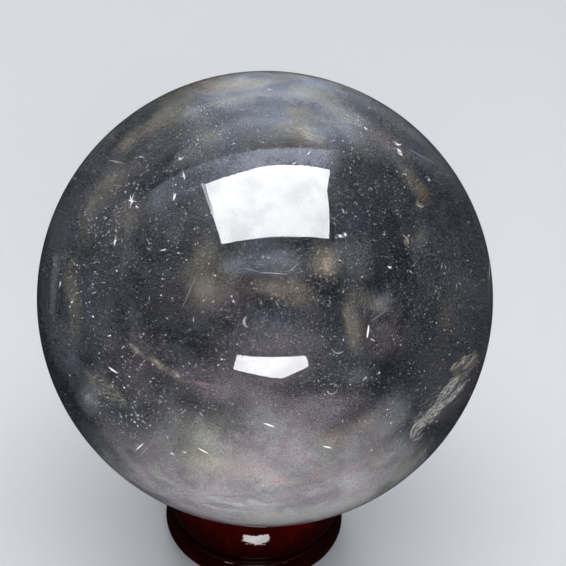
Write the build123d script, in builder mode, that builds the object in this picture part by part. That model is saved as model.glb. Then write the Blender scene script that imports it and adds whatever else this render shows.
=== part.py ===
"""Rock crystal ball on a small turned wooden stand.

Millimetres, +Z up. The origin is the centre of the resting face, on the surface that the stand
stands on, and +Z is the axis that the ball and its stand share.
"""

from build123d import *
import os
from math import cos, radians, sin, sqrt

# Ball
ball_diameter = 80.0
ball_radius = ball_diameter / 2

# Felt disc, glued into a shallow recess under the foot and standing proud of it
felt_diameter = 26.0
felt_thickness = 1.2
felt_edge_round = 0.3
recess_diameter = 27.0
recess_depth = 0.4
foot_z = felt_thickness - recess_depth

# Foot bead: a half-round ring on a flat base
foot_radius = 17.5
foot_bead = 2.4
foot_bead_r = foot_radius - foot_bead
foot_bead_z = foot_z + foot_bead

# Cup: a bulbous ring that tucks under sharply, rises in a nearly straight flank and rounds over
# to its crest. Each arc has a radius, and starts where the face leans back by the angle given.
cup_radius = 16.6
cup_widest_z = foot_z + 7.3
tuck = 3.2
tuck_start = -45.0
flank = 20.0
flank_start = 18.0
shoulder = 3.0
shoulder_start = 39.0

# Quirk: the fine groove turned between the foot bead and the cup
quirk_radius = 14.5
quirk_top_z = foot_bead_z + foot_bead + 0.45


def outward(angle, distance):
    """The step (r, z) of that distance along a direction leaning back by angle, in degrees."""
    return Vector(cos(radians(angle)), sin(radians(angle))) * distance


# The arcs' centres: each arc starts in line with the one below it
tuck_centre = Vector(cup_radius - tuck, cup_widest_z)
flank_centre = tuck_centre - outward(flank_start, flank - tuck)
shoulder_centre = flank_centre + outward(shoulder_start, flank - shoulder)
crest_z = shoulder_centre.Y + shoulder

# The ball lies on the cup's shoulder, so the height of its centre follows from the cup
ball_z = shoulder_centre.Y + sqrt((ball_radius + shoulder) ** 2 - shoulder_centre.X**2)

# Seat: a land turned to the ball's own curve, around a dished hollow
seat_gap = 0.2
hollow_radius = 9.1
hollow_floor_z = 12.2
hollow_z = hollow_floor_z + hollow_radius

os.makedirs("parts", exist_ok=True)

# ---- crystal ball: one solid polished sphere ----
with BuildPart() as crystal_ball:
    with Locations((0, 0, ball_z)):
        Sphere(ball_radius)

crystal_ball.part.label = "crystal_ball"
export_step(crystal_ball.part, "parts/crystal_ball.step")

# ---- stand: one turning, revolved from its half section ----
base_edge = (foot_bead_r, foot_z)
bead_top = (foot_bead_r, foot_bead_z + foot_bead)
cup_foot = tuck_centre + outward(tuck_start, tuck)
recess_r = recess_diameter / 2
recess_z = foot_z + recess_depth

with BuildPart() as stand:
    with BuildSketch(Plane.XZ):
        with BuildLine():
            Polyline((0, crest_z), (0, recess_z), (recess_r, recess_z), (recess_r, foot_z), base_edge)
            CenterArc((foot_bead_r, foot_bead_z), foot_bead, -90, 180)
            Polyline(bead_top, (quirk_radius, bead_top[1]), (quirk_radius, quirk_top_z), cup_foot)
            CenterArc(tuck_centre, tuck, tuck_start, flank_start - tuck_start)
            CenterArc(flank_centre, flank, flank_start, shoulder_start - flank_start)
            CenterArc(shoulder_centre, shoulder, shoulder_start, 90 - shoulder_start)
            Line((shoulder_centre.X, crest_z), (0, crest_z))
        make_face()
    revolve(axis=Axis.Z)
    with Locations((0, 0, ball_z)):
        Sphere(ball_radius + seat_gap, mode=Mode.SUBTRACT)
    with Locations((0, 0, hollow_z)):
        Sphere(hollow_radius, mode=Mode.SUBTRACT)

stand.part.label = "stand"
export_step(stand.part, "parts/stand.step")

# ---- felt pad: a thin disc that keeps the foot off the table ----
with BuildPart() as felt_pad:
    Cylinder(felt_diameter / 2, felt_thickness, align=(Align.CENTER, Align.CENTER, Align.MIN))
    fillet(felt_pad.edges().filter_by(GeomType.CIRCLE).group_by(Axis.Z)[0], felt_edge_round)

felt_pad.part.label = "felt_pad"
export_step(felt_pad.part, "parts/felt_pad.step")
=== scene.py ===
"""Looks for the rock crystal ball on its turned stand. Metres, in the CAD frame, +Z up."""

from math import asin, cos, pi, radians, sin, sqrt, tan

import bmesh
import bpy
import numpy as np
from mathutils import Matrix, Vector, noise


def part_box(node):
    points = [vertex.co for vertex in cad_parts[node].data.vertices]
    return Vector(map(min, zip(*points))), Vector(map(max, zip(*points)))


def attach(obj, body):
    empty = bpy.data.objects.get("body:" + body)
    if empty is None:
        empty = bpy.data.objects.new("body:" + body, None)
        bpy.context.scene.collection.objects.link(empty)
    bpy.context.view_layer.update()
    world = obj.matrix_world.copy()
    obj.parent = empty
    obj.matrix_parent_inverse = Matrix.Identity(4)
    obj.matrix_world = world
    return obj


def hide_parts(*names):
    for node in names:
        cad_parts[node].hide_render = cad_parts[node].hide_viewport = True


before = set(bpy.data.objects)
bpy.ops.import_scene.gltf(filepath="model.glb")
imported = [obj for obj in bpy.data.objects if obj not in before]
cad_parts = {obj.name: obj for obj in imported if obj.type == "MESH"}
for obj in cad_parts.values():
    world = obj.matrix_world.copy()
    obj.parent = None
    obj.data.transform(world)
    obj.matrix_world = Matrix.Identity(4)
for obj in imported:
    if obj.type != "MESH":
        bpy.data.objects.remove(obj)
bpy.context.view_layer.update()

# ---- places taken from the frame ----
ball_low, ball_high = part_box("crystal_ball")
BALL = (ball_low + ball_high) / 2
R = (ball_high.z - ball_low.z) / 2
MM = 0.001

# ---- the front view, which also gives the directions that the flaws are placed by ----
ELEVATION = radians(35)
DISTANCE = 6 * R
HALF_ANGLE = asin(R / DISTANCE)
ROLL = radians(3)
# How far the view is aimed off the ball's middle, and the share of its width that the ball takes
AIM_RIGHT, AIM_UP = 0.078 * R, 0.069 * R
BALL_SHARE = 0.806

TOWARDS = Vector((0, -cos(ELEVATION), sin(ELEVATION)))
RIGHT = Vector((1, 0, 0))
UP = TOWARDS.cross(RIGHT)

# The stone's refraction, and how strongly its smoke absorbs light, per metre
QUARTZ_IOR = 1.544
SMOKE = 74.0

# Shares of the ball's radius that the flaws stay inside
SHEET_REACH, SPECK_REACH = 0.965, 0.97

# How far out the stars lie on the hidden sides, in ball radii
STAR_REACH = 0.93

# How deep under the front face the tinted patches and the sparks lie, in ball radii
CLOUD_DEPTH, SPARK_DEPTH = 0.045, 0.05

# Faces with less clouding than this are left out
CLEAR = 0.004


def add_camera():
    """A camera six radii off, looking down at the ball, leaning a little as it was held."""
    data = bpy.data.cameras.new("camera")
    data.sensor_width = 36
    data.lens = data.sensor_width * BALL_SHARE / 2 / tan(HALF_ANGLE)
    data.clip_start = 0.01
    camera = bpy.data.objects.new("camera", data)
    bpy.context.scene.collection.objects.link(camera)
    lean = Matrix.Rotation(ROLL, 3, TOWARDS)
    place = BALL + TOWARDS * DISTANCE
    target = BALL + lean @ RIGHT * AIM_RIGHT + lean @ UP * AIM_UP
    back = (place - target).normalized()
    side = (lean @ UP).cross(back).normalized()
    turn = Matrix((side, back.cross(side), back)).transposed().to_4x4()
    camera.matrix_world = Matrix.Translation(place) @ turn
    bpy.context.scene.camera = camera


def in_ball(across, up, towards):
    """A point in the ball from front-view directions, in ball radii from its centre."""
    return BALL + (RIGHT * across + UP * up + TOWARDS * towards) * R


def seen_at(across, up, depth):
    """The point, depth radii into the stone, that the front view shows at (across, up) of its face."""
    reach = tan(HALF_ANGLE)
    ray = (RIGHT * across * reach + UP * up * reach - TOWARDS).normalized()
    start = TOWARDS * DISTANCE
    b = start.dot(ray)
    hit = start + ray * (-b - sqrt(max(b * b - DISTANCE**2 + R**2, 0)))
    normal = hit.normalized()
    bend = 1 / QUARTZ_IOR
    c = -normal.dot(ray)
    inner = ray * bend + normal * (bend * c - sqrt(1 - bend**2 * (1 - c * c)))
    return BALL + hit + inner * depth * R


def turned(place, degrees):
    """A point carried round the ball's upright axis, for the flaws on the sides that the front hides."""
    return BALL + Matrix.Rotation(radians(degrees), 3, "Z") @ (place - BALL)


# ---- node helpers ----
class Tree:
    """A material's nodes, added by type and joined as they are made. Input iN is a node's Nth, from 0."""

    def __init__(self, name):
        self.material = bpy.data.materials.new(name)
        self.material.use_nodes = True
        self.nodes = self.material.node_tree.nodes
        self.links = self.material.node_tree.links
        self.nodes.clear()
        self.out = self.nodes.new("ShaderNodeOutputMaterial")

    def add(self, kind, settings=None, **inputs):
        node = self.nodes.new("ShaderNode" + kind)
        for key, value in (settings or {}).items():
            setattr(node, key, value)
        for key, value in inputs.items():
            self.put(node, key.replace("_", " "), value)
        return node

    def put(self, node, key, value):
        """Joins or sets one input."""
        socket = node.inputs[int(key[1:])] if key[0] == "i" and key[1:].isdigit() else node.inputs[key]
        if isinstance(value, bpy.types.NodeSocket):
            self.links.new(value, socket)
        else:
            socket.default_value = value

    def math(self, operation, a, b=0.0, clamp=False):
        node = self.add("Math", {"operation": operation, "use_clamp": clamp}, i0=a, i1=b)
        return node.outputs[0]

    def remap(self, value, low, high, to_low=0.0, to_high=1.0):
        """A smooth, clamped rise from to_low at low to to_high at high."""
        node = self.add("MapRange", {"clamp": True, "interpolation_type": "SMOOTHSTEP"}, Value=value)
        for key, number in zip(("From Min", "From Max", "To Min", "To Max"), (low, high, to_low, to_high)):
            node.inputs[key].default_value = number
        return node.outputs[0]

    def place(self, scale=(1, 1, 1)):
        """Object coordinates, in metres, stretched where scale is small."""
        spot = self.add("TexCoord").outputs["Object"]
        return self.add("Mapping", None, Vector=spot, Scale=scale).outputs[0]

    def noise(self, where, scale, detail=4.0, roughness=0.55, distortion=0.0):
        node = self.add("TexNoise", None, Vector=where, Scale=scale, Detail=detail, Roughness=roughness)
        node.inputs["Distortion"].default_value = distortion
        return node.outputs["Fac"]

    def ramp(self, value, *stops):
        """Colours between stops, each a place from 0 to 1 and a colour."""
        node = self.add("ValToRGB", None, Fac=value)
        elements = node.color_ramp.elements
        while len(elements) < len(stops):
            elements.new(0.5)
        for element, (at, colour) in zip(elements, stops):
            element.position = at
            element.color = (*colour, 1)
        return node.outputs["Color"]

    def mix_colour(self, factor, a, b, blend="MIX"):
        node = self.add("Mix", {"data_type": "RGBA", "blend_type": blend})
        node.inputs[0].default_value = 1.0
        self.put(node, "i0", factor)
        for index, colour in ((6, a), (7, b)):
            value = colour if isinstance(colour, bpy.types.NodeSocket) else (*colour, 1)
            self.put(node, f"i{index}", value)
        return node.outputs[2]

    def mix(self, factor, a, b):
        return self.add("MixShader", None, i0=factor, i1=a, i2=b).outputs[0]

    def finish(self, surface, volume=None):
        self.links.new(surface, self.out.inputs["Surface"])
        if volume:
            self.links.new(volume, self.out.inputs["Volume"])
        return self.material


# ---- materials ----
# How far up the stand its groove is, as a share of the stand's height
GROOVE_SHARE = 0.34


def quartz_material():
    """Clear, slightly smoky quartz with a polished face; lamps reach what lies inside it."""
    t = Tree("quartz")
    where = t.place()
    scuffs = t.noise(where, 900, 3)
    bump = t.add("Bump", None, Strength=0.012, Distance=0.0002, Height=scuffs)
    glass = t.add("BsdfPrincipled", None, Roughness=0.0, IOR=QUARTZ_IOR, Normal=bump.outputs[0])
    glass.inputs["Base Color"].default_value = (1, 1, 1, 1)
    glass.inputs["Transmission Weight"].default_value = 1.0
    clear = t.add("BsdfTransparent", None, Color=(0.9, 0.9, 0.9, 1)).outputs[0]
    lamp_ray = t.add("LightPath").outputs["Is Shadow Ray"]
    smoke = t.add("VolumeAbsorption", None, Color=(0.49, 0.495, 0.53, 1), Density=SMOKE)
    return t.finish(t.mix(lamp_ray, glass.outputs[0], clear), smoke.outputs[0])


def film(t, colour, cover):
    """A thin film in the stone: lit from either side, and clear where cover is 0."""
    front = t.add("BsdfDiffuse", None, Color=colour).outputs[0]
    back = t.add("BsdfTranslucent", None, Color=colour).outputs[0]
    clear = t.add("BsdfTransparent").outputs[0]
    return t.finish(t.mix(cover, clear, t.mix(0.5, front, back)))


def shifted(t, seed):
    """Object coordinates moved by seed, so that two materials don't share a pattern."""
    spot = t.add("TexCoord").outputs["Object"]
    return t.add("Mapping", None, Vector=spot, Location=(seed, seed * 0.7, -seed)).outputs[0]


def cloud_share(t):
    """The clouding that each point of a film was given."""
    return t.add("Attribute", {"attribute_name": "cloud"}).outputs["Fac"]


# Tints, as linear red, green and blue
WHITE, GREY, BLUE_GREY = (0.95, 0.96, 0.97), (0.82, 0.83, 0.85), (0.64, 0.73, 0.90)
PALE_BLUE = (0.74, 0.79, 0.92)
OLIVE, BEIGE, BROWN = (0.63, 0.58, 0.41), (0.84, 0.74, 0.56), (0.62, 0.44, 0.34)
MAUVE, PINK, YELLOW = (0.82, 0.66, 0.74), (0.96, 0.68, 0.70), (0.88, 0.83, 0.52)
CREAM, MILK, BLUSH = (0.92, 0.89, 0.80), (0.95, 0.94, 0.92), (0.90, 0.79, 0.81)
# The tint of the dark films and patches, which paint shade.
PAINTED_SHADE = (0.030, 0.040, 0.046)
CLOUDED = (OLIVE, BLUE_GREY, GREY, MAUVE)


def speckles(t, where, share):
    """Pin-point specks, half a millimetre apart, of uneven brightness and gathered in drifts."""
    cells = t.add("TexVoronoi", None, Vector=where, Scale=1900)
    dot = t.remap(cells.outputs["Distance"], 0.12, 0.30, 1.0, 0.0)
    chosen = t.remap(t.add("SeparateColor", None, Color=cells.outputs["Color"]).outputs[0], 0.45, 1.0)
    drift = t.remap(t.noise(where, 85, 3), 0.42, 0.62, 0.25, 1.0)
    return t.math("MULTIPLY", t.math("MULTIPLY", t.math("MULTIPLY", dot, chosen), drift), share)


def haze_material(name, seed, grain, patchy, colours, rough=0.5, specks=0.0):
    """Clouded quartz: soft tinted blotches, with a dust as fine as grain and as uneven as rough."""
    t = Tree(name)
    where = shifted(t, seed)
    blotch = t.remap(t.noise(where, 105, 5, 0.6, 0.2), 0.36, 0.64, 1 - patchy, 1.0)
    dust = t.remap(t.noise(where, grain, 2, 0.7), 0.30, 0.70, 1 - rough, 1 + rough)
    cover = t.math("MULTIPLY", t.math("MULTIPLY", blotch, dust), cloud_share(t))
    cover = t.math("ADD", cover, speckles(t, where, specks) if specks else 0.0, clamp=True)
    tint = t.noise(where, 75, 4, 0.6)
    return film(t, t.ramp(tint, *zip((0.34, 0.46, 0.54, 0.66), colours)), cover)


def patch_material(name, seed, scale, low, rough=0.25):
    """Clouds and healed cracks in their own tints, broken up from low cover to full, with a fine grain."""
    t = Tree(name)
    where = shifted(t, seed)
    wisps = t.remap(t.noise(where, scale, 4, 0.6, 0.2), 0.36, 0.66, low, 1.0)
    beads = t.remap(t.noise(where, 3200, 2, 0.7), 0.30, 0.70, 1 - rough, 1 + rough)
    sparkling = t.math("ADD", t.math("MULTIPLY", wisps, beads), speckles(t, where, 1.2))
    cover = t.math("MULTIPLY", sparkling, cloud_share(t), clamp=True)
    return film(t, t.add("Attribute", {"attribute_name": "tint"}).outputs["Color"], cover)


def thread_material(name, seed):
    """A torn, fibrous crack: bright threads along its length, broken here and there."""
    t = Tree(name)
    along = t.add("Attribute", {"attribute_name": "along"}).outputs["Vector"]
    threads = t.add("Mapping", None, Vector=along, Scale=(0.6, 14, 1), Location=(seed, 0, 0)).outputs[0]
    torn = t.add("Mapping", None, Vector=along, Scale=(2.2, 5, 1), Location=(0, seed, 0)).outputs[0]
    bright = t.remap(t.noise(threads, 1, 4, 0.75, 0.2), 0.42, 0.60, 0.05, 1.0)
    gaps = t.remap(t.noise(torn, 1, 5, 0.7), 0.40, 0.55, 0.08, 1.0)
    cover = t.math("MULTIPLY", t.math("MULTIPLY", bright, gaps), cloud_share(t), clamp=True)
    return film(t, t.add("Attribute", {"attribute_name": "tint"}).outputs["Color"], cover)


def glint_material(name, colour, painted_glow=0.0):
    """Tiny crack faces that flash white; where an emission is given, they also glow by themselves, a painted
    glint.
    """
    t = Tree(name)
    body = t.add("BsdfPrincipled", None, Roughness=0.25, IOR=1.8)
    body.inputs["Base Color"].default_value = (*colour, 1)
    # Painted light: the emission makes the flecks glow though they are no lamp.
    if painted_glow:
        body.inputs["Emission Color"].default_value = (*colour, 1)
        body.inputs["Emission Strength"].default_value = painted_glow
    return t.finish(body.outputs[0])


def lacquer_material():
    """Very dark red hardwood under a thick, slightly lumpy clear gloss, with painted shade that makes it
    darkest beside the groove.
    """
    t = Tree("red_lacquered_wood")
    grain = t.noise(t.place((1, 1, 0.22)), 620, 6, 0.6, 0.6)
    clouds = t.noise(t.place(), 120, 3)
    pores = t.remap(t.noise(t.place((1, 1, 0.08)), 3200, 2), 0.62, 0.72)
    dark, red, bright = (0.030, 0.0005, 0.0002), (0.050, 0.0008, 0.0003), (0.085, 0.0024, 0.0008)
    wood = t.ramp(grain, (0.30, dark), (0.52, red), (0.78, bright))
    wood = t.mix_colour(t.remap(clouds, 0.35, 0.65, 0.0, 0.6), wood, (0.012, 0.0008, 0.0006))
    wood = t.mix_colour(pores, wood, (0.014, 0.0006, 0.0004))
    low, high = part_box("stand")
    tall = high.z - low.z
    height = t.add("SeparateXYZ", None, Vector=t.place()).outputs["Z"]
    # Painted shade: the colour darkens towards the groove, where shade falls.
    from_groove = t.math("ABSOLUTE", t.math("SUBTRACT", height, low.z + GROOVE_SHARE * tall))
    painted_groove_shade = t.remap(from_groove, 0.08 * tall, 0.46 * tall, 0.95, 0.0)
    colour = t.mix_colour(painted_groove_shade, wood, (0.006, 0.0004, 0.0003))
    ripples = t.math("MULTIPLY", t.noise(t.place(), 1500, 2), 0.25)
    lumps = t.math("ADD", t.noise(t.place(), 380, 3, 0.5), ripples)
    bump = t.add("Bump", None, Strength=0.11, Distance=0.00035, Height=lumps)
    body = t.add("BsdfPrincipled", None, Roughness=0.5, IOR=1.45, Normal=bump.outputs[0])
    t.put(body, "Base Color", colour)
    t.put(body, "Coat Normal", bump.outputs[0])
    body.inputs["Specular IOR Level"].default_value = 0.0
    body.inputs["Coat Weight"].default_value = 1.0
    body.inputs["Coat Roughness"].default_value = 0.03
    body.inputs["Coat IOR"].default_value = 1.4
    return t.finish(body.outputs[0])


def felt_material():
    """Black pressed felt with a fine nap."""
    t = Tree("black_felt")
    where = t.place()
    fibres = t.noise(where, 2600, 5, 0.75, 1.5)
    colour = t.ramp(fibres, (0.30, (0.006, 0.006, 0.007)), (0.75, (0.035, 0.034, 0.036)))
    bump = t.add("Bump", None, Strength=0.8, Distance=0.0002, Height=fibres)
    body = t.add("BsdfPrincipled", None, Roughness=0.95, Normal=bump.outputs[0])
    t.put(body, "Base Color", colour)
    body.inputs["Sheen Weight"].default_value = 0.4
    return t.finish(body.outputs[0])


def floor_material():
    """A plain pale floor without gloss."""
    t = Tree("pale_floor")
    body = t.add("BsdfDiffuse", None, Color=(0.57, 0.58, 0.60, 1))
    return t.finish(body.outputs[0])


def glow_material(name, strength):
    """Bright sky behind a window, a little uneven."""
    t = Tree(name)
    uneven = t.remap(t.noise(t.place(), 1.1, 2), 0.35, 0.65, 0.88 * strength, 1.10 * strength)
    glow = t.add("Emission", None, Strength=uneven, Color=(0.97, 0.985, 1.0, 1))
    return t.finish(glow.outputs[0])


# ---- mesh helpers ----
def add_piece(name, mesh, material, body, smooth=True):
    """A visible piece that rides on body and takes the given material."""
    piece = bpy.data.objects.new(name, mesh)
    bpy.context.scene.collection.objects.link(piece)
    mesh.materials.append(material)
    for face in mesh.polygons:
        face.use_smooth = smooth
    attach(piece, body)
    return piece


def sphere_mesh(name, radius, fineness, shape=None, cloud=None):
    """A ball round the stone's middle. cloud gives its clouding at a point, and clear faces are left out."""
    bm = bmesh.new()
    bmesh.ops.create_icosphere(bm, subdivisions=fineness, radius=1)
    layer = bm.verts.layers.float.new("cloud") if cloud else None
    for v in bm.verts:
        v.co = v.co.normalized()
        v.co = v.co * radius * (shape(v.co) if shape else 1)
        if cloud:
            v[layer] = cloud(v.co / R)
        v.co += BALL
    if cloud:
        clear = [f for f in bm.faces if max(v[layer] for v in f.verts) < CLEAR]
        bmesh.ops.delete(bm, geom=clear, context="FACES")
    mesh = bpy.data.meshes.new(name)
    bm.to_mesh(mesh)
    bm.free()
    return mesh


def step(low, high, value):
    """0 below low and 1 above high, with a smooth rise between; low may be the larger of the two."""
    share = min(max((value - low) / (high - low), 0), 1)
    return share * share * (3 - 2 * share)


# ---- the ball ----
def add_ball():
    """The polished stone itself."""
    ball = add_piece("quartz_ball", sphere_mesh("quartz_ball", R, 7), quartz_material(), "ball")
    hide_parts("crystal_ball")


def foot_haze_and_painted_light(p):
    """Milky towards the foot, and reaching higher in the middle than at the sides; the milk there is partly
    real haze and partly painted light, brighter where light gathers in the foot.
    """
    up, across, towards = p.dot(UP), p.dot(RIGHT), p.dot(TOWARDS)
    ragged = 0.09 * noise.noise(p * 4.5) + 0.05 * noise.noise(p * 11)
    low = -up - (0.42 if across < 0 else 0.28) * across * across + ragged
    return step(0.28, 0.78, low) * (0.65 + 0.35 * step(-0.7, 0.2, towards))


def crown_haze(p):
    """A milky cap with a mottled lower edge, thinner at its sides, above all on the left."""
    up, across, towards = p.dot(UP), p.dot(RIGHT), p.dot(TOWARDS)
    ragged = 0.04 * noise.noise(p * 5) + 0.03 * noise.noise(p * 12)
    bow = across - 0.17
    over = up + 0.35 * bow * bow + ragged
    side = 1 - 0.92 * step(0.12, 0.50, -across) - 0.60 * step(0.22, 0.50, across)
    side *= 0.55 + 0.45 * step(0.12, 0.36, towards)
    steps = ((0.32, 0.54, 0.65), (0.18, 0.76, 0.86), (0.20, 0.84, 0.90))
    return side * sum(amount * step(low, high, over) for amount, low, high in steps)


def rim_haze_and_painted_edge_light(p):
    """A dull band just inside the outline, down the right and over the top: partly haze, and partly painted
    light for the pale edge.
    """
    up, across, towards = p.dot(UP), p.dot(RIGHT), p.dot(TOWARDS)
    ring = step(0.42, 0.22, towards) * step(-0.35, 0.0, towards)
    return 0.17 * ring * step(0.05, 0.45, up + 0.35 * across)


def even_haze(amount, behind=0.0):
    """Thicker towards the foot, thinner on the right of the front, and thicker by behind round the back."""

    def rule(p):
        front = step(-0.3, 0.3, p.dot(TOWARDS))
        share = 1 + 0.4 * step(0.0, -0.6, p.dot(UP)) + behind * (1 - front)
        return amount * (share - 0.6 * step(0.1, 0.6, p.dot(RIGHT)) * front)

    return rule


def wavy(amount, seed):
    """A layer's uneven radius, as a factor that varies by amount in broad waves."""
    shift = Vector((seed, -seed, seed * 0.5))
    return lambda n: 1 + amount * noise.noise(n * 2.5 + shift)


def add_haze():
    """Layers through the stone, so that the clouding has depth and shifts as one moves round it."""
    dark = (PAINTED_SHADE,) * 4
    foot = haze_material("haze_foot_and_painted_light", 1, 3400, 0.50, (CREAM, MILK, BLUSH, MILK), 0.28)
    crown = haze_material("haze_crown", 5, 3400, 0.45, (BEIGE, WHITE, BLUE_GREY, WHITE), 0.22)
    rim = haze_material("haze_rim_and_painted_edge_light", 8, 3400, 0.70, (OLIVE, BEIGE, GREY, OLIVE))
    skin = haze_material("haze_skin", 6, 2200, 1.0, CLOUDED, 0.25, specks=0.45)
    middle = haze_material("haze_middle", 2, 1800, 1.0, CLOUDED, 0.25, specks=0.45)
    layers = (
        # Haze at the foot, with painted light where light gathers there.
        ("haze_foot_and_painted_light", 0.95, foot_haze_and_painted_light, 0.010, foot),
        ("haze_crown", 0.955, crown_haze, 0.008, crown),
        # Haze near the outline, with painted edge light.
        ("haze_rim_and_painted_edge_light", 0.96, rim_haze_and_painted_edge_light, 0.006, rim),
        ("haze_skin", 0.94, even_haze(0.055, 0.9), 0.012, skin),
        ("haze_middle", 0.80, even_haze(0.07, 0.9), 0.05, middle),
        # Dark films that paint shade into the middle of the stone.
        ("painted_shade_middle", 0.66, even_haze(0.30), 0.07, haze_material("painted_shade_middle", 3, 700, 0.8, dark)),
        ("painted_shade_inner", 0.42, even_haze(0.35), 0.10, haze_material("painted_shade_inner", 4, 700, 0.8, dark)),
    )
    for seed, (name, share, rule, wave, material) in enumerate(layers, 1):
        fineness = 6 if wave < 0.02 else 5
        mesh = sphere_mesh(name, R * share, fineness, wavy(wave, seed), rule)
        add_piece(name, mesh, material, "ball")


class Sheets:
    """Thin curved sheets in one mesh; each point has a clouding, a tint and a place along its sheet."""

    def __init__(self):
        self.points, self.faces, self.clouds, self.tints, self.along = [], [], [], [], []

    def point(self, place, cloud, tint, along=(0, 0, 0)):
        """Adds a point, kept inside the stone's skin."""
        from_middle = place - BALL
        self.points.append(BALL + from_middle * min(1, SHEET_REACH * R / max(from_middle.length, 1e-9)))
        self.clouds.append(cloud)
        self.tints.append((*tint, 1))
        self.along.append(along)

    def disc(self, centre, facing, spread, strength, tint, turn=0, edge=0.0, seed=0, rings=12, spokes=40):
        """A ragged disc, turned by degrees in its own plane, that fades from edge, a share of its reach."""
        normal = (RIGHT * facing[0] + UP * facing[1] + TOWARDS * facing[2]).normalized()
        first = (RIGHT - normal * RIGHT.dot(normal)).normalized()
        first = Matrix.Rotation(radians(turn), 3, normal) @ first
        second = normal.cross(first)
        base = len(self.points)
        self.point(centre, strength, tint)
        for i in range(1, rings + 1):
            for j in range(spokes):
                a = 2 * pi * j / spokes
                round_it = Vector((cos(a), sin(a), 0))
                wobble = 1 + 0.22 * noise.noise(round_it * 1.7 + Vector((0, 0, seed)))
                out = i / rings * (wobble + 0.08 * noise.noise(round_it * 6 + Vector((0, 0, seed + 5))))
                ripple = noise.noise(round_it * out * 3 + Vector((0, 0, seed)))
                lift = 0.15 * (out * out - 0.4) + 0.05 * ripple
                flat = first * cos(a) * out * spread[0] + second * sin(a) * out * spread[1]
                fade = 1 - step(edge, 1.0, i / rings)
                self.point(centre + (flat + normal * lift * spread[0]) * R, strength * fade, tint)
        self.faces += [(base, base + 1 + j, base + 1 + (j + 1) % spokes) for j in range(spokes)]
        for i in range(rings - 1):
            low, high = base + 1 + i * spokes, base + 1 + (i + 1) * spokes
            for j in range(spokes):
                k = (j + 1) % spokes
                self.faces.append((low + j, high + j, high + k, low + k))

    def grid(self, rows, columns, rule):
        """rule(s, q), both from 0 to 1, gives a point's place, clouding, tint and place along the sheet."""
        base, width = len(self.points), columns + 1
        for i in range(rows + 1):
            for j in range(width):
                self.point(*rule(i / rows, j / columns))
        for i in range(rows):
            for j in range(columns):
                a = base + i * width + j
                self.faces.append((a, a + 1, a + width + 1, a + width))

    def add(self, name, material):
        mesh = bpy.data.meshes.new(name)
        mesh.from_pydata(self.points, [], self.faces)
        for key, kind, field, rows in (
            ("cloud", "FLOAT", "value", [(c,) for c in self.clouds]),
            ("tint", "FLOAT_COLOR", "color", self.tints),
            ("along", "FLOAT_VECTOR", "vector", self.along),
        ):
            flat = [number for row in rows for number in row]
            mesh.attributes.new(key, kind, "POINT").data.foreach_set(field, flat)
        return add_piece(name, mesh, material, "ball")


def add_veils():
    """Healed cracks that cross the stone at their own angles."""
    veils = Sheets()
    for seed, (centre, facing, spread, strength, edge, tint) in enumerate((
        (seen_at(-0.52, 0.0, 0.35), (0.9, 0.2, 0.5), (0.45, 0.55), 0.12, 0.2, GREY),
        (seen_at(-0.42, -0.30, 0.25), (0.55, 0.9, 0.25), (0.24, 0.10), 0.12, 0.2, OLIVE),
        (in_ball(0.1, 0.0, -0.1), (0.3, 0.6, 0.7), (0.55, 0.50), 0.12, 0.3, OLIVE),
        (in_ball(0.0, -0.55, 0.1), (0.1, 0.9, 0.5), (0.60, 0.45), 0.40, 0.3, MAUVE),
        (in_ball(-0.2, 0.1, -0.55), (0.4, 0.1, 0.9), (0.55, 0.45), 0.35, 0.4, GREY),
        (in_ball(0.55, -0.1, -0.2), (0.9, 0.3, 0.2), (0.45, 0.50), 0.30, 0.4, OLIVE),
        (in_ball(-0.35, 0.45, -0.6), (0.5, 0.6, 0.6), (0.35, 0.30), 0.40, 0.4, BEIGE),
        (in_ball(0.30, 0.50, -0.65), (-0.3, 0.4, 0.9), (0.30, 0.22), 0.40, 0.4, GREY),
    ), 1):
        veils.disc(centre, facing, spread, strength, tint, edge=edge, seed=seed, rings=14, spokes=56)
    veils.add("veils", patch_material("veils", 11, 110, 0.15))


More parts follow.
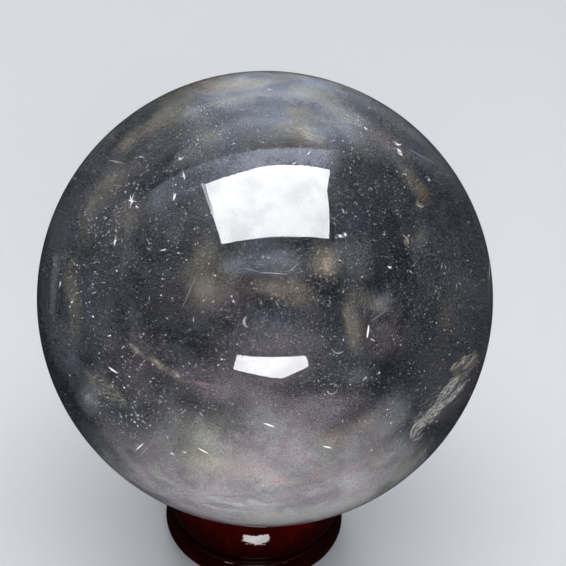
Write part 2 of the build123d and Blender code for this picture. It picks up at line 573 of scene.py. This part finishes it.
def add_clouds():
    """Soft patches of tint and of painted shade under the front, and others like them on the hidden sides."""
    clouds = Sheets()
    # The dark patches are painted shade, and the white and milky ones low at the foot are painted light.
    # Places and sizes in ball radii, turns in degrees
    for seed, (across, up, wide, high, turn, strength, tint) in enumerate((
        (-0.72, 0.45, 0.22, 0.12, 35, 0.27, OLIVE), (-0.62, 0.33, 0.1, 0.1, 0, 0.2, BEIGE),
        (-0.8, 0.28, 0.08, 0.13, 0, 0.22, OLIVE), (-0.86, 0.06, 0.08, 0.15, 0, 0.24, OLIVE),
        (0.08, 0.77, 0.18, 0.06, 0, 0.24, GREY), (0.15, -0.3, 0.14, 0.06, 0, 0.18, MAUVE),
        (0.42, -0.32, 0.09, 0.06, 0, 0.16, GREY), (-0.46, 0.8, 0.16, 0.14, 40, 0.2, OLIVE),
        (-0.64, 0.66, 0.12, 0.1, 45, 0.24, BEIGE), (-0.16, 0.4, 0.26, 0.2, 0, 0.1, BLUE_GREY),
        (0.36, 0.34, 0.16, 0.2, 0, 0.08, BLUE_GREY), (0.05, -0.1, 0.26, 0.14, 0, 0.1, BLUE_GREY),
        (-0.45, 0.42, 0.14, 0.2, 0, 0.04, BLUE_GREY), (0.62, -0.63, 0.14, 0.12, 0, 0.6, GREY),
        (-0.02, -0.74, 0.16, 0.07, 0, 0.2, PINK), (0.3, -0.75, 0.16, 0.07, 0, 0.2, PINK),
        (-0.05, -0.9, 0.3, 0.08, 0, 1.0, WHITE), (-0.42, -0.8, 0.12, 0.06, -30, 0.3, CREAM),
        (0.38, -0.86, 0.14, 0.05, 25, 0.2, CREAM), (0.255, 0.175, 0.085, 0.1, 0, 0.36, BEIGE),
        (0.37, 0.19, 0.11, 0.13, 0, 0.16, GREY), (0.385, -0.1, 0.055, 0.13, 15, 0.42, BEIGE),
        (0.06, 0.055, 0.12, 0.045, 0, 0.3, BEIGE), (-0.26, 0.1, 0.14, 0.19, 0, 0.22, BEIGE),
        (-0.2, 0.0, 0.16, 0.1, 0, 0.1, PINK), (-0.04, 0.17, 0.26, 0.09, 0, 0.12, BLUE_GREY),
        (0.08, 0.15, 0.16, 0.08, 0, 0.16, GREY), (-0.75, -0.48, 0.08, 0.18, -30, 0.3, GREY),
        (0.02, -0.2, 0.32, 0.14, 0, 0.14, MAUVE), (0.56, -0.5, 0.2, 0.15, 30, 0.26, GREY),
        (0.52, -0.14, 0.16, 0.12, 0, 0.12, MAUVE), (-0.93, 0.02, 0.05, 0.22, 0, 0.26, GREY),
        (-0.6, -0.7, 0.22, 0.05, -42, 0.3, GREY), (0.66, -0.7, 0.2, 0.05, 45, 0.35, OLIVE),
        (-0.42, 0.28, 0.05, 0.16, 0, 0.08, GREY), (0.14, 0.01, 0.16, 0.06, 0, 0.16, BEIGE),
        (-0.14, 0.135, 0.1, 0.06, 0, 0.14, BLUE_GREY), (0.05, 0.06, 0.2, 0.06, 0, 0.14, BROWN),
        (-0.83, -0.12, 0.07, 0.2, 0, 0.22, OLIVE), (0.8, -0.05, 0.07, 0.22, 0, 0.08, OLIVE),
        (-0.1, -0.38, 0.3, 0.14, 0, 0.3, MAUVE), (0.25, -0.47, 0.26, 0.12, 0, 0.28, MAUVE),
        (0.46, -0.52, 0.1, 0.07, 20, 0.45, BROWN), (0.33, -0.6, 0.12, 0.07, 0, 0.3, BROWN),
        (-0.2, -0.735, 0.19, 0.11, 0, 0.3, YELLOW), (-0.1, -0.6, 0.05, 0.02, 0, 0.4, PINK),
        (0.1, -0.8, 0.14, 0.06, 0, 0.36, PINK), (0.52, -0.68, 0.1, 0.1, 0, 0.25, BEIGE),
        (-0.66, -0.58, 0.14, 0.1, -40, 0.22, GREY), (-0.52, -0.4, 0.1, 0.1, 0, 0.14, OLIVE),
        (-0.53, 0.74, 0.08, 0.15, -30, 0.16, BEIGE), (-0.36, 0.8, 0.1, 0.07, 30, 0.25, GREY),
        (0.03, 0.9, 0.2, 0.07, 0, 0.3, WHITE), (0.28, 0.84, 0.16, 0.08, -20, 0.28, WHITE),
        (-0.2, 0.86, 0.12, 0.07, 12, 0.26, CREAM), (0.17, 0.72, 0.1, 0.04, -20, 0.3, BEIGE),
        (0.5, 0.72, 0.15, 0.1, -30, 0.22, BROWN), (0.62, 0.55, 0.12, 0.08, -40, 0.14, BEIGE),
        (-0.08, 0.78, 0.12, 0.05, 10, 0.25, BLUE_GREY), (0.1, 0.83, 0.1, 0.04, 0, 0.3, BEIGE),
        (-0.24, 0.72, 0.12, 0.05, 30, 0.22, OLIVE), (0.32, 0.76, 0.1, 0.06, -30, 0.25, GREY),
        (-0.555, -0.252, 0.085, 0.016, -31, 0.36, BEIGE), (-0.455, -0.31, 0.085, 0.022, -27, 0.4, BEIGE),
        (-0.372, -0.355, 0.065, 0.018, -36, 0.4, BEIGE), (-0.25, -0.385, 0.08, 0.012, 0, 0.28, PINK),
        (0.52, 0.01, 0.075, 0.055, 45, 0.2, GREY), (0.602, 0.28, 0.018, 0.03, 20, 0.45, BROWN),
        (0.66, 0.3, 0.1, 0.05, 60, 0.16, OLIVE), (0.45, 0.02, 0.2, 0.05, -20, 0.14, OLIVE),
        (-0.47, 0.58, 0.14, 0.04, 42, 0.75, PAINTED_SHADE), (-0.62, 0.6, 0.12, 0.05, 40, 0.45, PAINTED_SHADE),
        (-0.345, 0.915, 0.05, 0.022, 10, 0.6, PAINTED_SHADE), (0.46, 0.56, 0.12, 0.12, 0, 0.3, PAINTED_SHADE),
        (0.57, -0.29, 0.09, 0.065, 0, 0.6, PAINTED_SHADE), (-0.31, -0.45, 0.07, 0.06, 0, 0.4, PAINTED_SHADE),
        (-0.8, 0.2, 0.1, 0.12, 0, 0.35, PAINTED_SHADE), (-0.76, -0.3, 0.1, 0.06, 0, 0.35, PAINTED_SHADE),
        (0.22, -0.83, 0.05, 0.018, 0, 0.6, PAINTED_SHADE), (-0.32, -0.86, 0.015, 0.02, 0, 0.7, PAINTED_SHADE),
        (0.74, -0.1, 0.16, 0.14, 0, 0.25, PAINTED_SHADE), (0.62, 0.15, 0.14, 0.2, 0, 0.25, PAINTED_SHADE),
        (-0.58, 0.32, 0.16, 0.18, 0, 0.28, PAINTED_SHADE), (-0.45, 0.66, 0.16, 0.08, 40, 0.25, PAINTED_SHADE),
        (0.66, 0.4, 0.16, 0.16, 0, 0.2, PAINTED_SHADE), (0.76, 0.22, 0.12, 0.3, 0, 0.22, PAINTED_SHADE),
        (-0.32, -0.62, 0.1, 0.08, 0, 0.18, PAINTED_SHADE), (-0.62, -0.13, 0.09, 0.07, 0, 0.3, PAINTED_SHADE),
        (-0.13, -0.93, 0.24, 0.05, 0, 0.7, MILK), (0.04, 0.11, 0.1, 0.05, 0, 0.2, PAINTED_SHADE),
    ), 1):
        centre = seen_at(across, up, CLOUD_DEPTH)
        clouds.disc(centre, (across, up, 1), (wide, high), strength, tint, turn, seed=seed)
    rng = np.random.default_rng(21)
    for seed in range(150):
        spot = Vector(rng.normal(size=3)).normalized()
        size = rng.uniform(0.06, 0.24)
        tint = (OLIVE, BEIGE, GREY, MAUVE, PAINTED_SHADE, PAINTED_SHADE)[seed % 6]
        if spot.dot(TOWARDS) < 0.25:
            facing = (spot.dot(RIGHT), spot.dot(UP), spot.dot(TOWARDS))
            turn, strength = rng.uniform(0, 180), rng.uniform(0.2, 0.5)
            centre, spread = BALL + spot * R * rng.uniform(0.90, 0.95), (size, size * 0.6)
            clouds.disc(centre, facing, spread, strength, tint, turn, seed=seed)
    clouds.add("clouds", patch_material("clouds", 9, 240, 0.45))


def add_crown_veil():
    """A flat healed crack with a sharp arched top edge, palest along it, and a fainter one behind."""
    left, right = -0.56, 0.36

    def rule(s, q, degrees, share):
        """Down the crack by s and along its top edge by q, carried round by degrees."""
        across = left + (right - left) * q
        bow = across - 0.17
        drop = 0.62 * s
        up = 0.674 - 0.35 * bow * bow - 0.25 * bow**4 - drop
        ends = step(-0.56, -0.50, across) * step(0.34, 0.20, across)
        cover = 0.42 * (1 - step(0.04, 0.19, drop)) + 0.07 * (1 - step(0.10, 0.60, drop))
        cover *= (0.40 + 0.60 * step(-0.40, 0.05, across)) * step(-0.004, 0.008, drop)
        return turned(seen_at(across, up, 0.10), degrees), share * cover * ends, PALE_BLUE, (s, q, 0)

    veil = Sheets()
    veil.grid(60, 60, lambda s, q: rule(s, q, 0, 1))
    veil.grid(40, 40, lambda s, q: rule(s, q, 152, 0.8))
    veil.add("veil_crown", patch_material("veil_crown", 5, 160, 0.6, rough=0.2))


class Slivers:
    """Many thin pointed solids in one mesh."""

    def __init__(self):
        self.points, self.faces = [], []

    def tube(self, path, thickness, sides=5):
        """A round thread along path, thickest in the middle and pointed at both ends."""
        base, last = len(self.points), len(path) - 1
        for i, p in enumerate(path):
            ahead = (path[min(i + 1, last)] - path[max(i - 1, 0)]).normalized()
            side = ahead.orthogonal().normalized()
            reach = thickness / 2 * (0.15 + 0.85 * sin(pi * (i + 0.15) / (last + 0.3)))
            for k in range(sides):
                self.points.append(p + Matrix.Rotation(2 * pi * k / sides, 3, ahead) @ side * reach)
        for i in range(last):
            low, high = base + i * sides, base + (i + 1) * sides
            self.faces += [
                (low + k, low + (k + 1) % sides, high + (k + 1) % sides, high + k) for k in range(sides)
            ]
        self.faces.append([base + k for k in reversed(range(sides))])
        self.faces.append([base + last * sides + k for k in range(sides)])

    def chip(self, centre, size, rng):
        """A flake with six corners, thin across one of its axes."""
        turn = Matrix.Rotation(rng.uniform(0, 2 * pi), 3, Vector(rng.normal(size=3)))
        reach = (size / 2, size / 2 * rng.uniform(0.4, 1), size / 2 * 0.25)
        base = len(self.points)
        for axis in range(3):
            for sign in (-1, 1):
                tip = Vector((0, 0, 0))
                tip[axis] = sign * reach[axis]
                self.points.append(centre + turn @ tip)
        ends = ((2, 4), (4, 3), (3, 5), (5, 2))
        self.faces += [(base + 1, base + a, base + b) for a, b in ends]
        self.faces += [(base, base + b, base + a) for a, b in ends]

    def star(self, centre, size, rng):
        """A few threads that cross at one point: a painted glint in the shape of a star."""
        for _ in range(5):
            way = Vector(rng.normal(size=3)).normalized() * size * rng.uniform(0.3, 0.75)
            path = [centre - way * rng.uniform(0.1, 1), centre, centre + way]
            self.tube(path, size * rng.uniform(0.05, 0.12), 4)

    def add(self, name, material):
        mesh = bpy.data.meshes.new(name)
        mesh.from_pydata(self.points, [], self.faces)
        return add_piece(name, mesh, material, "ball", smooth=False)


def scatter(rng, centre, spread):
    """A random point round centre, kept inside the stone's skin."""
    point = centre + Vector(rng.normal(size=3)) * spread
    from_middle = point - BALL
    return BALL + from_middle * min(1, SPECK_REACH * R / from_middle.length)


def anywhere(rng):
    """A random point in the stone."""
    direction = Vector(rng.normal(size=3)).normalized()
    return BALL + direction * R * SPECK_REACH * rng.uniform() ** (1 / 3)


def front_swarms(dust, glints, rng):
    """Glints in swarms where the front view shows them, thickest on the left, with a few scratches."""
    swarms = (
        (-0.72, 0.26, 0.08, 90), (-0.62, 0.42, 0.07, 30), (-0.8, -0.02, 0.06, 50), (-0.45, 0.12, 0.1, 30),
        (-0.62, -0.35, 0.12, 80), (-0.55, -0.55, 0.1, 130), (-0.25, -0.75, 0.1, 40), (0.25, 0.45, 0.08, 16),
        (0.55, 0.55, 0.1, 20), (0.75, 0.1, 0.1, 26), (0.55, 0.15, 0.1, 14), (0.4, -0.35, 0.12, 22),
        (0.1, -0.05, 0.1, 16), (-0.15, -0.2, 0.1, 18), (0.15, -0.8, 0.12, 40), (0.65, -0.55, 0.1, 18),
    )
    for across, up, spread, count in swarms:
        for _ in range(count):
            spot = scatter(rng, seen_at(across, up, rng.uniform(0.03, 0.35)), spread * R)
            glints.chip(spot, (0.12 + 0.30 * rng.uniform() ** 3) * MM, rng)
            if rng.uniform() < 0.18:
                way = Vector(rng.normal(size=3)).normalized()
                spot = scatter(rng, seen_at(across, up, rng.uniform(0.03, 0.25)), spread * R)
                reach = way * rng.uniform(0.15, 0.5) * MM
                dust.tube([spot - reach, spot, spot + reach], rng.uniform(0.06, 0.12) * MM, 4)


def hidden_swarms(glints, rng):
    """Swarms of glints, each with a star, on the sides that the front hides."""
    for _ in range(26):
        heading = Vector(rng.normal(size=3)).normalized()
        if heading.dot(TOWARDS) < 0.2:
            for _ in range(rng.integers(20, 70)):
                spot = scatter(rng, BALL + heading * rng.uniform(0.75, 0.95) * R, 0.11 * R)
                glints.chip(spot, (0.12 + 0.30 * rng.uniform() ** 3) * MM, rng)
            glints.star(BALL + heading * STAR_REACH * R, rng.uniform(0.8, 1.5) * MM, rng)


def front_stars(glints, rng):
    """The brightest stars, painted glints each where the front view shows it, with its size in millimetres.
    """
    for across, up, size in (
        (0.545, 0.706, 1.3), (0.549, 0.684, 1.7), (0.560, 0.664, 1.2), (-0.608, 0.396, 1.9),
        (-0.585, 0.372, 0.9), (-0.670, 0.216, 1.3), (-0.385, 0.518, 1.2), (-0.422, 0.424, 1.0),
        (-0.404, 0.592, 1.0), (-0.456, 0.190, 0.9), (0.157, 0.648, 1.2), (0.095, 0.600, 0.9),
        (0.313, 0.291, 1.0), (0.335, 0.298, 0.9), (0.537, 0.164, 1.0), (-0.140, -0.020, 0.7),
        (-0.900, 0.020, 0.9), (-0.845, -0.060, 0.9), (-0.030, 0.918, 0.8), (0.400, 0.770, 0.7),
        (-0.315, -0.690, 1.0), (-0.370, -0.700, 1.0), (0.500, -0.640, 0.6), (0.690, 0.560, 0.7),
    ):
        glints.star(seen_at(across, up, SPARK_DEPTH), size * MM, rng)


def hidden_needles(dust, glints, rng):
    """Needles, and a star beside each of the thinnest, on the sides that the front hides."""
    for _ in range(150):
        heading = Vector(rng.normal(size=3)).normalized()
        way = Vector(rng.normal(size=3)).normalized() * rng.uniform(0.6, 2.6) * MM
        thick, size = rng.uniform(0.10, 0.26) * MM, rng.uniform(0.6, 1.9) * MM
        if heading.dot(TOWARDS) < 0.1:
            spot = BALL + heading * rng.uniform(0.80, 0.93) * R
            dust.tube([spot - way, spot, spot + way], thick, 4)
            if thick < 0.15 * MM:
                glints.star(BALL + heading * STAR_REACH * R + way, size, rng)


def front_dust(dust, rng):
    """Fine dust in drifts just under the front face."""
    for _ in range(5200):
        a, out, depth = rng.uniform(0, 2 * pi), 0.95 * sqrt(rng.uniform()), rng.uniform(0.02, 0.14)
        spot = seen_at(out * cos(a), out * sin(a), depth)
        if noise.noise((spot - BALL) * (3 / R)) > rng.uniform(-0.5, 0.3):
            dust.chip(spot, (0.08 + 0.15 * rng.uniform() ** 2) * MM, rng)


def add_flecks():
    """Dust, glints, stars and scratches of light, some of them all through the stone."""
    rng = np.random.default_rng(7)
    dust, glints = Slivers(), Slivers()
    for _ in range(9000):
        dust.chip(anywhere(rng), (0.09 + 0.17 * rng.uniform() ** 2) * MM, rng)
    front_swarms(dust, glints, rng)
    for _ in range(240):
        glints.chip(anywhere(rng), (0.14 + 0.30 * rng.uniform() ** 3) * MM, rng)
    hidden_swarms(glints, rng)
    front_stars(glints, rng)
    hidden_needles(dust, glints, rng)
    front_dust(dust, rng)
    dust.add("dust", glint_material("dust", (0.80, 0.80, 0.81)))
    # The glints glow a little by themselves: a painted glint.
    glints.add("glints", glint_material("glints", (1.0, 1.0, 1.0), 0.25))


def line_in(start, end):
    """Points spaced along the straight run from start to end."""
    steps = 10
    return [start.lerp(end, i / steps) for i in range(steps)] + [end]


def crescent(centre, size, start, sweep):
    """Points along an arc that faces the front; start and sweep in degrees."""
    steps = 14
    angles = [radians(start + sweep * i / steps) for i in range(steps + 1)]
    return [centre + (RIGHT * cos(a) + UP * sin(a)) * size for a in angles]


def add_marks():
    """The flaws that catch the eye: needles, crescents and dashes, each where the front view shows it."""
    bright, faint, moons = Slivers(), Slivers(), Slivers()
    for where, (x0, y0), (x1, y1), depth, thick in (
        (faint, (-0.100, 0.128), (-0.030, 0.115), 0.20, 0.09),
        (bright, (-0.030, 0.113), (0.090, 0.112), 0.20, 0.07),
        (faint, (-0.060, 0.150), (-0.010, 0.146), 0.20, 0.07),
        (faint, (0.088, 0.115), (0.140, 0.163), 0.20, 0.11),
        (bright, (0.459, -0.092), (0.454, -0.150), 0.12, 0.30),
        (faint, (0.463, -0.079), (0.552, -0.008), 0.14, 0.08),
        (bright, (0.020, -0.545), (0.070, -0.560), 0.03, 0.26),
        (bright, (0.285, -0.632), (0.325, -0.640), 0.03, 0.26),
        (bright, (-0.260, -0.670), (-0.215, -0.690), 0.03, 0.24),
        (bright, (-0.670, -0.335), (-0.630, -0.360), 0.03, 0.26),
        (faint, (-0.515, -0.720), (-0.450, -0.625), 0.03, 0.24),
        (bright, (-0.530, -0.690), (-0.500, -0.660), 0.03, 0.25),
        (faint, (-0.365, -0.070), (-0.300, 0.110), 0.30, 0.09),
        (faint, (-0.720, 0.570), (-0.640, 0.555), 0.06, 0.22),
        (faint, (0.576, 0.696), (0.721, 0.624), 0.06, 0.12),
        (bright, (0.969, 0.241), (0.978, 0.130), 0.03, 0.20),
        (faint, (0.978, 0.130), (0.979, 0.044), 0.03, 0.16),
    ):
        where.tube(line_in(seen_at(x0, y0, depth), seen_at(x1, y1, depth)), thick * MM)
    for x, y, depth, size, start, sweep, thick in (
        (-0.062, -0.105, 0.15, 0.022, 125, 125, 0.42),
        (0.588, 0.280, 0.15, 0.024, 70, -100, 0.34),
        (0.655, 0.462, 0.12, 0.022, 200, 130, 0.34),
        (0.655, 0.462, 0.12, 0.012, 120, 220, 0.16),
        (0.330, -0.192, 0.15, 0.026, 200, 130, 0.18),
        (0.312, -0.380, 0.15, 0.020, 190, 170, 0.22),
        (0.312, -0.380, 0.15, 0.020, 20, 110, 0.10),
    ):
        moons.tube(crescent(seen_at(x, y, depth), size * R, start, sweep), thick * MM)
    # The bright needles glow a little by themselves: painted light.
    bright.add("needles_bright", glint_material("needles_bright", (1.0, 0.99, 0.95), 0.2))
    faint.add("needles_faint", glint_material("needles_faint", (0.34, 0.33, 0.30)))
    moons.add("crescents", glint_material("crescents", (0.38, 0.37, 0.28)))


def fracture_rule(strip, degrees, seed):
    """The rule for one strip of the torn crack, carried round the upright axis."""
    start, end, width, strength, tint = strip
    way = Vector((end[0] - start[0], end[1] - start[1]))
    length = way.length
    side = Vector((-way.y, way.x)) / length

    def rule(s, q):
        bulge = 0.35 + 0.65 * sin(pi * s)
        out = width * (q - 0.5) * bulge + 0.006 * noise.noise(Vector((s * 4, 0, seed)))
        across, up = start[0] + way.x * s + side.x * out, start[1] + way.y * s + side.y * out
        ends = step(0, 0.15, s) * step(0, 0.15, 1 - s) * (1 - step(0.30, 0.5, abs(q - 0.5)))
        place = turned(seen_at(across, up, 0.05), degrees)
        return place, strength * ends, tint, (s * length * 40, q * width * 30, seed)

    return rule


def add_fracture():
    """The torn crack low on the right: fibrous strips, side by side, and some again round the back."""
    torn = Sheets()
    # Each strip: its two ends in the front view, its width, clouding and tint
    strips = (
        ((0.690, -0.540), (0.810, -0.405), 0.060, 1.00, CREAM),
        ((0.770, -0.420), (0.870, -0.292), 0.045, 0.95, CREAM),
        ((0.840, -0.335), (0.955, -0.180), 0.070, 0.55, OLIVE),
        ((0.775, -0.460), (0.905, -0.315), 0.030, 0.90, CREAM),
        ((0.820, -0.280), (0.910, -0.200), 0.036, 0.70, BEIGE),
        ((0.660, -0.585), (0.735, -0.475), 0.060, 0.60, CREAM),
        ((0.740, -0.520), (0.940, -0.290), 0.110, 0.25, MAUVE),
        ((0.700, -0.480), (0.830, -0.330), 0.070, 0.20, OLIVE),
    )
    shown = [(strip, 0) for strip in strips]
    # The strips shown once more, each with the degrees it is carried round
    again = ((1, 118), (3, 118), (0, 205), (4, 205), (6, 205), (2, 262))
    shown += [(strips[row], degrees) for row, degrees in again]
    for seed, (strip, degrees) in enumerate(shown):
        torn.grid(40, 10, fracture_rule(strip, degrees, seed))
    torn.add("fracture", thread_material("fracture", 3))


def add_fracture_edges():
    """Fine fibres over the torn crack, and threads along its hooked lower end and up its sides."""
    edges = Slivers()
    rng = np.random.default_rng(5)
    for _ in range(90):
        s, q, reach = rng.uniform(0.0, 0.95), rng.normal() * 0.020, rng.uniform(0.008, 0.035)
        across, up = 0.675 + 0.27 * s + 0.76 * q, -0.565 + 0.375 * s - 0.65 * q
        lean = rng.normal() * 0.12
        tip = (across + reach * (0.58 + lean), up + reach * (0.81 - lean))
        edges.tube([seen_at(across, up, 0.045), seen_at(*tip, 0.045)], rng.uniform(0.05, 0.13) * MM, 4)
    for outline, thick in (
        (((0.668, -0.575), (0.668, -0.548), (0.684, -0.518), (0.712, -0.492)), 0.11),
        (((0.676, -0.588), (0.703, -0.578), (0.722, -0.550)), 0.11),
        (((0.672, -0.582), (0.690, -0.545), (0.715, -0.508)), 0.09),
        (((0.725, -0.500), (0.745, -0.470), (0.770, -0.442)), 0.11),
        (((0.800, -0.440), (0.840, -0.395), (0.858, -0.372)), 0.10),
        (((0.868, -0.361), (0.880, -0.345), (0.893, -0.325)), 0.13),
        (((0.832, -0.348), (0.853, -0.308), (0.862, -0.295)), 0.09),
        (((0.850, -0.262), (0.866, -0.240), (0.885, -0.222)), 0.10),
        (((0.906, -0.245), (0.925, -0.215), (0.940, -0.190)), 0.08),
    ):
        edges.tube([seen_at(x, y, 0.04) for x, y in outline], thick * MM)
    edges.add("fracture_edges", glint_material("fracture_edges", (0.72, 0.69, 0.60)))


def add_iron_stain():
    """A small rust-coloured cloud beside a crescent."""
    stain = Sheets()
    stain.disc(seen_at(0.672, 0.485, 0.12), (0, 0, 1), (0.070, 0.050), 0.55, (0.30, 0.20, 0.08), 60, seed=9)
    stain.add("iron_stain", patch_material("iron_stain", 9, 420, 0.35))


# ---- stage ----
# How far off the windows are that the ball mirrors, and their glow. Their outlines are for one metre off:
# across and along a ceiling for the overhead window and its reveal, across and up for the front window.
WINDOW_DISTANCE = 3.0
WINDOW_GLOW, REVEAL_GLOW = 17.5, 5
OVERHEAD_WINDOW = (
    (-0.52, 0.09), (-0.24, 0.13), (-0.08, 0.18), (0.43, 0.29), (0.43, 0.06), (0.56, -0.41), (-0.445, -0.56),
)
OVERHEAD_REVEAL = ((-0.56, 0.125), (-0.52, 0.09), (-0.465, -0.22), (-0.49, -0.25))
FRONT_WINDOW = ((-0.205, 0.13), (0.365, 0.14), (0.385, 0.045), (0.16, -0.05), (-0.225, 0.005))


def add_card(name, outline, strength):
    """A light panel that shows only in reflections, as the windows round the ball do."""
    corners = [BALL + Vector(corner) * WINDOW_DISTANCE for corner in outline]
    mesh = bpy.data.meshes.new(name)
    mesh.from_pydata(corners, [], [range(len(corners))])
    mesh.materials.append(glow_material(name, strength))
    card = bpy.data.objects.new(name, mesh)
    bpy.context.scene.collection.objects.link(card)
    card.visible_camera = card.visible_diffuse = card.visible_transmission = False
    card.visible_shadow = False


def add_area(name, place, size, power):
    """A soft lamp that faces the ball, and that neither the camera nor gloss sees."""
    data = bpy.data.lights.new(name, "AREA")
    data.shape, data.size, data.size_y = "RECTANGLE", *size
    data.energy = power
    lamp = bpy.data.objects.new(name, data)
    bpy.context.scene.collection.objects.link(lamp)
    lamp.location = place
    lamp.rotation_euler = (place - BALL).to_track_quat("Z", "Y").to_euler()
    lamp.visible_camera = lamp.visible_glossy = False


def studio_world():
    """Pale all round, but dark where gloss mirrors it, as a room's far side is."""
    world = bpy.data.worlds.new("studio")
    world.use_nodes = True
    nodes, links = world.node_tree.nodes, world.node_tree.links
    pale, dark = nodes["Background"], nodes.new("ShaderNodeBackground")
    pale.inputs["Color"].default_value = (0.80, 0.84, 0.90, 1)
    pale.inputs["Strength"].default_value = 0.35
    dark.inputs["Color"].default_value = (0.60, 0.75, 1.0, 1)
    dark.inputs["Strength"].default_value = 0.018
    path = nodes.new("ShaderNodeLightPath")
    mirrored = nodes.new("ShaderNodeMath")
    mirrored.operation, mirrored.use_clamp = "SUBTRACT", True
    links.new(path.outputs["Is Glossy Ray"], mirrored.inputs[0])
    links.new(path.outputs["Is Transmission Ray"], mirrored.inputs[1])
    mix = nodes.new("ShaderNodeMixShader")
    links.new(mirrored.outputs[0], mix.inputs[0])
    links.new(pale.outputs[0], mix.inputs[1])
    links.new(dark.outputs[0], mix.inputs[2])
    links.new(mix.outputs[0], nodes["World Output"].inputs["Surface"])
    return world


def add_stage():
    """The floor, the windows in the reflections, the lamps and the settings for light inside glass."""
    bpy.ops.mesh.primitive_plane_add(size=6)
    floor = bpy.context.object
    floor.name = "floor"
    floor.data.materials.append(floor_material())
    floor.visible_glossy = False
    ceiling = [(x, y, 1) for x, y in OVERHEAD_WINDOW]
    reveal = [(x, y, 1) for x, y in OVERHEAD_REVEAL]
    wall = [(x, -1, z) for x, z in FRONT_WINDOW]
    add_card("overhead_window", ceiling, WINDOW_GLOW)
    add_card("overhead_reveal", reveal, REVEAL_GLOW)
    add_card("front_window", wall, WINDOW_GLOW)
    add_area("overhead_softbox", BALL + Vector((0, -0.08, 0.75)), (0.75, 0.55), 5.5)
    add_area("front_softbox", BALL + Vector((0.1, -0.9, 0.35)), (0.6, 0.4), 5.0)
    add_area("rear_softbox", BALL + Vector((-0.2, 0.9, 0.45)), (0.6, 0.4), 3.5)
    scene = bpy.context.scene
    scene.world = studio_world()
    scene.view_settings.view_transform = "Standard"
    scene.cycles.transparent_max_bounces = 40
    scene.cycles.max_bounces = 14
    scene.cycles.transmission_bounces = 12


# ---- the stand and its felt ----
def add_stand():
    """The turned stand keeps its CAD shape and gets the lacquer."""
    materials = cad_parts["stand"].data.materials
    materials.clear()
    materials.append(lacquer_material())


def felt_outline(radius, low, high, edge):
    """The disc's half section as (r, z), from near the middle of its underside round its edges to the top."""
    flat = [radius * i / 40 for i in range(1, 39)]
    quarter = [radians(-90 + 15 * i) for i in range(7)]
    points = [(r, low) for r in flat]
    points += [(radius - edge + edge * cos(a), low + edge + edge * sin(a)) for a in quarter]
    points += [(radius - edge + edge * cos(-a), high - edge - edge * sin(a)) for a in reversed(quarter)]
    return points + [(r, high) for r in reversed(flat)]


def add_felt():
    """A die-cut disc of pressed felt: a soft edge and a face matted in coarse dents and fine ones."""
    low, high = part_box("felt_pad")
    radius, edge, spokes = (high.x - low.x) / 2, 0.28 * MM, 240
    coarse, fine = 0.07 * MM, 0.04 * MM
    middle = (low + high) / 2
    bm = bmesh.new()
    rings = []
    for r, z in felt_outline(radius, low.z, high.z, edge):
        ring = []
        for j in range(spokes):
            a = 2 * pi * j / spokes
            spot = Vector((r * cos(a), r * sin(a), z))
            sunk = coarse * (0.5 + 0.5 * noise.noise(spot * 900))
            sunk += fine * (0.5 + 0.5 * noise.noise(spot * 2500))
            inward = Vector((-spot.x, -spot.y, 0)).normalized() * (0.6 if r > radius - 2 * edge else 0)
            upward = Vector((0, 0, 1 if z < middle.z else -1))
            ring.append(bm.verts.new(Vector((middle.x, middle.y, 0)) + spot + (inward + upward) * sunk))
        rings.append(ring)
    for inner, outer in zip(rings, rings[1:]):
        for j in range(spokes):
            k = (j + 1) % spokes
            bm.faces.new((inner[j], inner[k], outer[k], outer[j]))
    bm.faces.new(rings[0][::-1])
    bm.faces.new(rings[-1])
    bmesh.ops.recalc_face_normals(bm, faces=bm.faces)
    mesh = bpy.data.meshes.new("felt_disc")
    bm.to_mesh(mesh)
    bm.free()
    felt = add_piece("felt_disc", mesh, felt_material(), "stand")
    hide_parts("felt_pad")


add_camera()
add_stage()
add_ball()
add_haze()
add_veils()
add_clouds()
add_crown_veil()
add_flecks()
add_marks()
add_fracture()
add_fracture_edges()
add_iron_stain()
add_stand()
add_felt()
